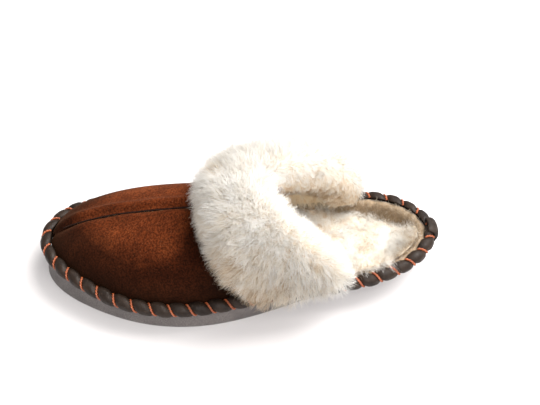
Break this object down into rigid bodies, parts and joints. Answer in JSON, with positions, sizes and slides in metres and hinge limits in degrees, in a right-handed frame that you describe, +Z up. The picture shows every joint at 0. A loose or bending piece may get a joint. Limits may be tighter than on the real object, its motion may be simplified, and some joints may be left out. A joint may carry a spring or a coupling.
{
  "type": "moccasin slipper",
  "caption": "Backless sheepskin moccasin slipper with a suede vamp, fluffy wool cuff and footbed, and a whip-stitched leather binding round a soft suede sole.",
  "frame": {"origin": "on the ground under the middle of the welt, at the resting face of the sole", "axes": "+Z up, -Y towards the toe, +Y towards the heel, +X towards the outer side of the left foot"},
  "size_m": [0.1111, 0.2747, 0.1057],
  "materials": {
    "sole_suede": "matte napped suede, grey, speckled",
    "foam": "matte closed-cell foam",
    "hide": "matte tanned sheepskin, flesh side",
    "footbed_wool": "fluffy curled wool, cream",
    "lining_wool": "short clipped wool, tan",
    "vamp_suede": "matte napped suede, reddish brown",
    "inner_wool": "short curled wool, cream",
    "seam_thread": "dark sewing thread",
    "cuff_hide": "matte suede, dark red-brown",
    "cuff_wool": "long fluffy wool, creamy white",
    "binding_leather": "semi-gloss smooth leather, dark brown",
    "lacing_thread": "waxed twisted thread, orange"
  },
  "bodies": {
    "root": {"outsole": "sole_suede", "cushion_pad": "foam", "footbed_hide": "hide", "footbed_wool": "footbed_wool", "heel_lining": "lining_wool", "vamp_panel_lateral": "vamp_suede", "vamp_panel_medial": "vamp_suede", "vamp_wool_lateral": "inner_wool", "vamp_wool_medial": "inner_wool", "centre_seam_thread": "seam_thread", "cuff_hide": "cuff_hide", "cuff_wool": "cuff_wool", "cuff_seam_thread": "seam_thread", "welt_binding": "binding_leather", "whip_stitches": "lacing_thread", "heel_tab": "binding_leather"}
  },
  "joints": []
}
